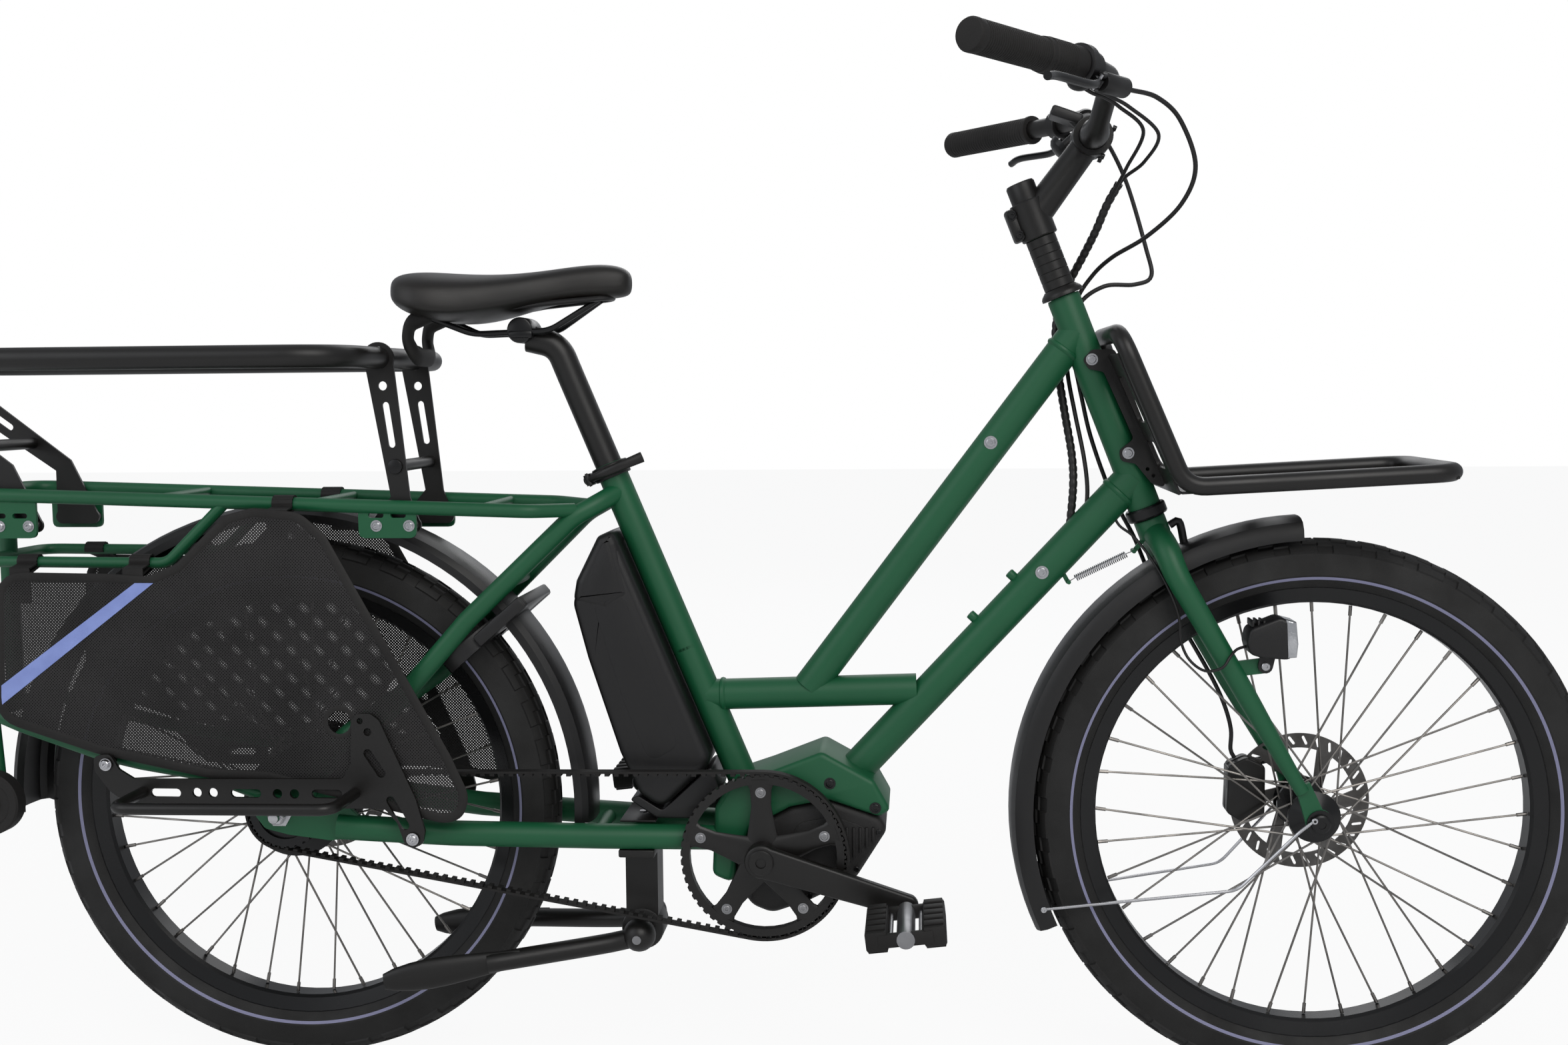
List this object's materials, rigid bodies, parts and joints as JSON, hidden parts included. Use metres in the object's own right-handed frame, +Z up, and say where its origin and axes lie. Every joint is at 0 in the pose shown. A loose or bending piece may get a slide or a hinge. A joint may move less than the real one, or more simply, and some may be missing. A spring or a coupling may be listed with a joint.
{
  "type": "electric longtail cargo bike",
  "caption": "Compact step-through cargo bike with a mid motor, frame battery, belt drive, long rear rack, passenger rail and front carrier.",
  "frame": {"origin": "on the ground under the middle of the bike's box", "axes": "+X forwards, +Y to the rider's left, +Z up"},
  "size_m": [2.0093, 0.691, 1.1379],
  "materials": {
    "green_paint": "satin mid-green paint over aluminium tube",
    "black_metal": "satin black coated aluminium",
    "motor_black": "matte black cast housing",
    "rim_black": "satin black anodised",
    "hub_black": "black shell with bright steel spokes",
    "black_plastic": "fine-grained matte black",
    "rubber": "matte black rubber",
    "tyre_rubber": "black tyre with a thin pale reflective stripe",
    "cable_black": "black cable jacket",
    "bright_steel": "bright steel",
    "saddle_cover": "smooth black cover over foam",
    "mesh_fabric": "black open mesh with a sewn edge"
  },
  "bodies": {
    "frame": {"main_frame": "green_paint", "drive_unit": "motor_black", "rear_triangle": "green_paint", "cargo_rack": "green_paint", "hoop_rail": "black_metal", "hoop_bracket_front": "black_metal", "hoop_bracket_rear": "black_metal", "foot_plate_right": "black_metal", "foot_plate_left": "black_metal", "side_panel_right": "mesh_fabric", "side_panel_left": "mesh_fabric", "rear_fender": "black_plastic", "rear_caliper": "black_metal", "battery_dock": "black_plastic", "stand_bracket": "black_metal", "ring_lock": "black_plastic", "carrier_rack": "black_metal", "seat_collar": "black_metal", "belt": "rubber", "steering_spring": "bright_steel", "front_brake_hose": "cable_black", "rear_brake_hose": "cable_black", "control_bundle": "cable_black", "headlamp_lead": "cable_black"},
    "steering": {"fork": "black_metal", "stem": "black_metal", "handlebar": "black_metal", "grip_right": "rubber", "grip_left": "rubber", "brake_body_right": "black_plastic", "brake_body_left": "black_plastic", "bell": "black_plastic", "display": "black_plastic", "front_fender": "black_plastic", "front_caliper": "black_metal"},
    "front_wheel": {"front_tyre": "tyre_rubber", "front_rim": "rim_black", "front_hub": "hub_black"},
    "rear_wheel": {"rear_tyre": "tyre_rubber", "rear_rim": "rim_black", "rear_hub": "hub_black"},
    "crank": {"crank_right": "black_metal", "crank_left": "black_metal"},
    "rear_pulley": {"rear_pulley": "bright_steel"},
    "pedal_right": {"pedal_right": "black_plastic"},
    "pedal_left": {"pedal_left": "black_plastic"},
    "stand_leg_right": {"stand_leg_right": "black_metal"},
    "stand_leg_left": {"stand_leg_left": "black_metal"},
    "seat": {"seatpost": "black_metal", "saddle": "saddle_cover"},
    "seat_lever": {"seat_lever": "black_metal"},
    "brake_lever_right": {"brake_lever_right": "black_metal"},
    "brake_lever_left": {"brake_lever_left": "black_metal"},
    "twist_shifter": {"twist_shifter": "rubber"},
    "bell_lever": {"bell_lever": "black_plastic"},
    "headlamp": {"headlamp": "black_plastic"},
    "lock_shackle": {"lock_shackle": "bright_steel"},
    "battery": {"battery": "black_plastic"},
    "parking_roller_right": {"parking_roller_right": "rubber"},
    "parking_roller_left": {"parking_roller_left": "rubber"}
  },
  "joints": [
    {"name": "steering_turn", "type": "hinge", "parent": "frame", "child": "steering", "pos_m": [0.50391, 0, 0.66205], "axis": [-0.3629, 0, 0.9318], "range_deg": [-45, 45], "stiffness_Nm_per_rad": 1.5, "deforming": ["steering_spring", "front_brake_hose", "rear_brake_hose", "control_bundle", "headlamp_lead"]},
    {"name": "front_wheel_spin", "type": "hinge", "parent": "steering", "child": "front_wheel", "pos_m": [0.692, 0, 0.313], "axis": [0, 1, 0], "continuous": true},
    {"name": "rear_wheel_spin", "type": "hinge", "parent": "frame", "child": "rear_wheel", "pos_m": [-0.4895, 0, 0.313], "axis": [0, 1, 0], "continuous": true},
    {"name": "crank_spin", "type": "hinge", "parent": "frame", "child": "crank", "pos_m": [0.071, 0, 0.268], "axis": [0, 1, 0], "continuous": true, "deforming": ["belt"]},
    {"name": "rear_pulley_spin", "type": "hinge", "parent": "frame", "child": "rear_pulley", "pos_m": [-0.4895, 0, 0.313], "axis": [0, 1, 0], "continuous": true},
    {"name": "pedal_right_spin", "type": "hinge", "parent": "crank", "child": "pedal_right", "pos_m": [0.23408, -0.15, 0.22], "axis": [0, 1, 0], "continuous": true},
    {"name": "pedal_left_spin", "type": "hinge", "parent": "crank", "child": "pedal_left", "pos_m": [-0.09208, 0.15, 0.316], "axis": [0, 1, 0], "continuous": true},
    {"name": "stand_right_swing", "type": "hinge", "parent": "frame", "child": "stand_leg_right", "pos_m": [-0.0775, -0.0412, 0.165], "axis": [0, -0.6521, 0.7581], "range_deg": [0, 107]},
    {"name": "stand_left_swing", "type": "hinge", "parent": "frame", "child": "stand_leg_left", "pos_m": [-0.0775, 0.0412, 0.165], "axis": [0, 0.6521, 0.7581], "range_deg": [-107, 0]},
    {"name": "seatpost_slide", "type": "slide", "parent": "frame", "child": "seat", "axis": [-0.3833, 0, 0.9236], "range_m": [-0.01, 0.1]},
    {"name": "seat_lever_swing", "type": "hinge", "parent": "frame", "child": "seat_lever", "pos_m": [-0.13306, -0.0155, 0.69572], "axis": [0.3833, 0, -0.9236], "range_deg": [0, 120]},
    {"name": "brake_lever_right_pull", "type": "hinge", "parent": "steering", "child": "brake_lever_right", "pos_m": [0.42578, -0.20345, 1.09984], "axis": [-0.5336, 0.4072, -0.7413], "range_deg": [0, 12], "stiffness_Nm_per_rad": 0.5, "springref_deg": -17.19},
    {"name": "brake_lever_left_pull", "type": "hinge", "parent": "steering", "child": "brake_lever_left", "pos_m": [0.42578, 0.20345, 1.09984], "axis": [0.5336, 0.4072, 0.7413], "range_deg": [0, 12], "stiffness_Nm_per_rad": 0.5, "springref_deg": -17.19},
    {"name": "shifter_twist", "type": "hinge", "parent": "steering", "child": "twist_shifter", "pos_m": [0.38853, -0.21626, 1.11961], "axis": [-0.6149, -0.7886, 0.0094], "range_deg": [-60, 60]},
    {"name": "bell_lever_press", "type": "hinge", "parent": "steering", "child": "bell_lever", "pos_m": [0.427, 0.1238, 1.0893], "axis": [-0.7507, 0, -0.6606], "range_deg": [-12, 12], "stiffness_Nm_per_rad": 0.02},
    {"name": "headlamp_tilt", "type": "hinge", "parent": "steering", "child": "headlamp", "pos_m": [0.6285, -0.056, 0.49], "axis": [0, 1, 0], "range_deg": [-12, 12], "deforming": ["headlamp_lead"]},
    {"name": "lock_bar_turn", "type": "hinge", "parent": "frame", "child": "lock_shackle", "pos_m": [-0.27629, 0, 0.49834], "axis": [0.6561, 0, -0.7547], "range_deg": [0, 148], "stiffness_Nm_per_rad": 0.06, "springref_deg": -34.38},
    {"name": "battery_tilt", "type": "hinge", "parent": "frame", "child": "battery", "pos_m": [-0.0495, 0.044, 0.314], "axis": [-0.9236, 0, -0.3833], "range_deg": [0, 35]},
    {"name": "parking_roller_right_spin", "type": "hinge", "parent": "frame", "child": "parking_roller_right", "pos_m": [-0.8395, -0.079, 0.322], "axis": [0, 1, 0], "continuous": true},
    {"name": "parking_roller_left_spin", "type": "hinge", "parent": "frame", "child": "parking_roller_left", "pos_m": [-0.8395, 0.079, 0.322], "axis": [0, 1, 0], "continuous": true}
  ],
  "couplings": [
    {"joint": "rear_pulley_spin", "follows": "crank_spin", "ratio": 2.1154},
    {"joint": "stand_left_swing", "follows": "stand_right_swing", "ratio": -1}
  ]
}
